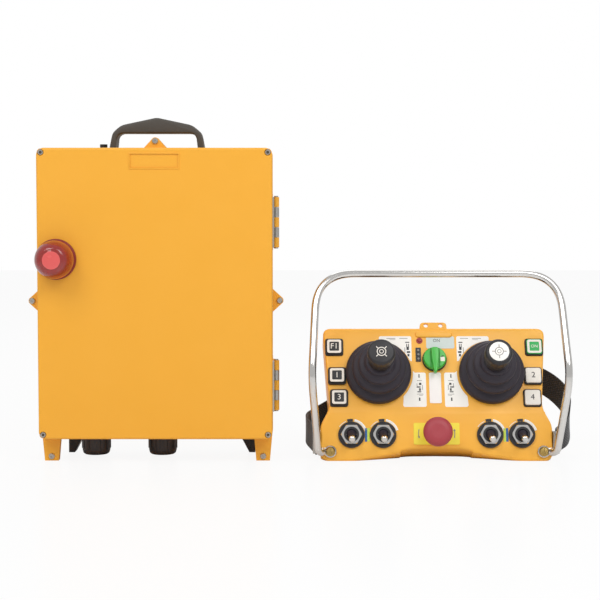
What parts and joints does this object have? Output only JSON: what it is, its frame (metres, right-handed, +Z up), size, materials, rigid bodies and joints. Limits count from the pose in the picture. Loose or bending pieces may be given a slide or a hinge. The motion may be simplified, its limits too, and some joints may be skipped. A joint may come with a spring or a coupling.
{
  "type": "crane radio remote control",
  "caption": "Radio remote control for a crane: a wall-box receiver with a hinged lid and a belly-box transmitter with joysticks, toggles, buttons and a guard bar.",
  "frame": {"origin": "middle of the pair's footprint, on the floor", "axes": "+Z up, +Y to the back, -Y towards the user; the receiver stands at -X, the transmitter at +X"},
  "size_m": [0.7278, 0.215, 0.4529],
  "materials": {
    "yellow_plastic": "moulded, slightly glossy yellow-orange",
    "black_plastic": "moulded black, satin",
    "black_rubber": "matt black rubber",
    "chrome": "polished chrome plate",
    "steel": "brushed stainless steel",
    "red_lens": "translucent red moulding",
    "red_plastic": "moulded red",
    "green_plastic": "moulded green",
    "white_plastic": "moulded off-white",
    "plate_yellow": "clear yellow plate",
    "board": "green solder mask",
    "component_blue": "moulded blue relay case",
    "component_dark": "dark component",
    "shield_can": "tinned shield can",
    "webbing": "black woven webbing"
  },
  "bodies": {
    "receiver": {"receiver_case": "yellow_plastic", "rear_feet": "black_rubber", "carry_handle": "black_plastic", "gland_bodies": "black_plastic", "gland_nuts": "black_plastic", "gland_seals": "black_rubber", "gland_locknuts": "black_plastic", "hinge_case_leaves": "steel", "hinge_pins": "steel", "case_gasket": "black_rubber", "case_screws": "steel", "receiver_board": "board", "relays": "component_blue", "terminal_blocks": "green_plastic", "power_transformer": "component_dark", "radio_module": "shield_can", "antenna_socket": "black_plastic"},
    "lid": {"receiver_lid": "yellow_plastic", "hinge_lid_leaves": "steel", "lid_screws": "steel", "alarm_lamp_base": "red_plastic", "alarm_lamp_lens": "red_lens"},
    "transmitter": {"panel_shell": "yellow_plastic", "base_shell": "yellow_plastic", "shell_gasket": "black_rubber", "guard_bar": "chrome", "guard_screws": "steel", "strap_brackets": "steel", "waist_strap": "webbing", "control_board": "board", "display_window": "white_plastic", "indicator_lamps": "red_lens", "button_frames": "black_plastic", "button_switches": "component_dark", "toggle_bodies": "component_dark", "toggle_plates": "black_rubber", "toggle_nuts": "steel", "key_switch_body": "black_plastic", "estop_body": "plate_yellow", "joystick_bases": "component_dark", "left_boot": "black_rubber", "right_boot": "black_rubber"},
    "battery": {"battery_pack": "black_plastic"},
    "left_gimbal": {"left_gimbal": "steel"},
    "left_stick": {"left_stick": "black_plastic"},
    "right_gimbal": {"right_gimbal": "steel"},
    "right_stick": {"right_stick": "black_plastic"},
    "toggle_lever_1": {"toggle_lever_1": "chrome"},
    "toggle_lever_2": {"toggle_lever_2": "chrome"},
    "toggle_lever_3": {"toggle_lever_3": "chrome"},
    "toggle_lever_4": {"toggle_lever_4": "chrome"},
    "button_f1": {"button_f1": "black_plastic"},
    "button_1": {"button_1": "black_plastic"},
    "button_3": {"button_3": "black_plastic"},
    "button_start": {"button_start": "green_plastic"},
    "button_2": {"button_2": "white_plastic"},
    "button_4": {"button_4": "white_plastic"},
    "key_knob": {"key_knob": "green_plastic"},
    "estop_plunger": {"estop_plunger": "component_dark"},
    "estop_head": {"estop_head": "red_plastic"}
  },
  "joints": [
    {"name": "lid_hinge", "type": "hinge", "parent": "receiver", "child": "lid", "pos_m": [-0.039, -0.04075, 0.222], "axis": [0, 0, 1], "range_deg": [0, 95]},
    {"name": "transmitter_lift", "type": "slide", "parent": "receiver", "child": "transmitter", "axis": [0, 0, 1], "range_m": [0, 0.15]},
    {"name": "battery_slide", "type": "slide", "parent": "transmitter", "child": "battery", "axis": [0, 0.9063, -0.4226], "range_m": [0, 0.03]},
    {"name": "left_stick_fore_aft", "type": "hinge", "parent": "transmitter", "child": "left_gimbal", "pos_m": [0.0975, 0.00706, 0.10672], "axis": [1, 0, 0], "range_deg": [-20, 20], "stiffness_Nm_per_rad": 1.5, "deforming": ["left_boot"]},
    {"name": "left_stick_across", "type": "hinge", "parent": "left_gimbal", "child": "left_stick", "pos_m": [0.0975, 0.00706, 0.10672], "axis": [0, 0.4226, 0.9063], "range_deg": [-20, 20], "stiffness_Nm_per_rad": 1.5, "deforming": ["left_boot"]},
    {"name": "right_stick_fore_aft", "type": "hinge", "parent": "transmitter", "child": "right_gimbal", "pos_m": [0.2495, 0.00706, 0.10672], "axis": [1, 0, 0], "range_deg": [-20, 20], "stiffness_Nm_per_rad": 1.5, "deforming": ["right_boot"]},
    {"name": "right_stick_across", "type": "hinge", "parent": "right_gimbal", "child": "right_stick", "pos_m": [0.2495, 0.00706, 0.10672], "axis": [0, 0.4226, 0.9063], "range_deg": [-20, 20], "stiffness_Nm_per_rad": 1.5, "deforming": ["right_boot"]},
    {"name": "toggle_1", "type": "hinge", "parent": "transmitter", "child": "toggle_lever_1", "pos_m": [0.06046, -0.04111, 0.03491], "axis": [-1, 0, 0], "range_deg": [0, 40]},
    {"name": "toggle_2", "type": "hinge", "parent": "transmitter", "child": "toggle_lever_2", "pos_m": [0.10251, -0.04111, 0.03491], "axis": [-1, 0, 0], "range_deg": [0, 40]},
    {"name": "toggle_3", "type": "hinge", "parent": "transmitter", "child": "toggle_lever_3", "pos_m": [0.24449, -0.04111, 0.03491], "axis": [-1, 0, 0], "range_deg": [0, 40]},
    {"name": "toggle_4", "type": "hinge", "parent": "transmitter", "child": "toggle_lever_4", "pos_m": [0.28654, -0.04111, 0.03491], "axis": [-1, 0, 0], "range_deg": [0, 40]},
    {"name": "button_f1_press", "type": "slide", "parent": "transmitter", "child": "button_f1", "axis": [0, 0.9063, -0.4226], "range_m": [0, 0.0025], "stiffness_N_per_m": 400, "springref_m": -0.001},
    {"name": "button_1_press", "type": "slide", "parent": "transmitter", "child": "button_1", "axis": [0, 0.9063, -0.4226], "range_m": [0, 0.0025], "stiffness_N_per_m": 400, "springref_m": -0.001},
    {"name": "button_3_press", "type": "slide", "parent": "transmitter", "child": "button_3", "axis": [0, 0.9063, -0.4226], "range_m": [0, 0.0025], "stiffness_N_per_m": 400, "springref_m": -0.001},
    {"name": "button_start_press", "type": "slide", "parent": "transmitter", "child": "button_start", "axis": [0, 0.9063, -0.4226], "range_m": [0, 0.0025], "stiffness_N_per_m": 400, "springref_m": -0.001},
    {"name": "button_2_press", "type": "slide", "parent": "transmitter", "child": "button_2", "axis": [0, 0.9063, -0.4226], "range_m": [0, 0.0025], "stiffness_N_per_m": 400, "springref_m": -0.001},
    {"name": "button_4_press", "type": "slide", "parent": "transmitter", "child": "button_4", "axis": [0, 0.9063, -0.4226], "range_m": [0, 0.0025], "stiffness_N_per_m": 400, "springref_m": -0.001},
    {"name": "key_turn", "type": "hinge", "parent": "transmitter", "child": "key_knob", "pos_m": [0.1735, 0.00332, 0.12946], "axis": [0, -0.9063, 0.4226], "range_deg": [-90, 0]},
    {"name": "estop_press", "type": "slide", "parent": "transmitter", "child": "estop_plunger", "axis": [0, 0.9636, -0.2672], "range_m": [0, 0.0045], "stiffness_N_per_m": 1200, "springref_m": -0.002},
    {"name": "estop_twist", "type": "hinge", "parent": "estop_plunger", "child": "estop_head", "pos_m": [0.1735, -0.03588, 0.03503], "axis": [0, -0.9636, 0.2672], "range_deg": [0, 45], "stiffness_Nm_per_rad": 0.05}
  ]
}
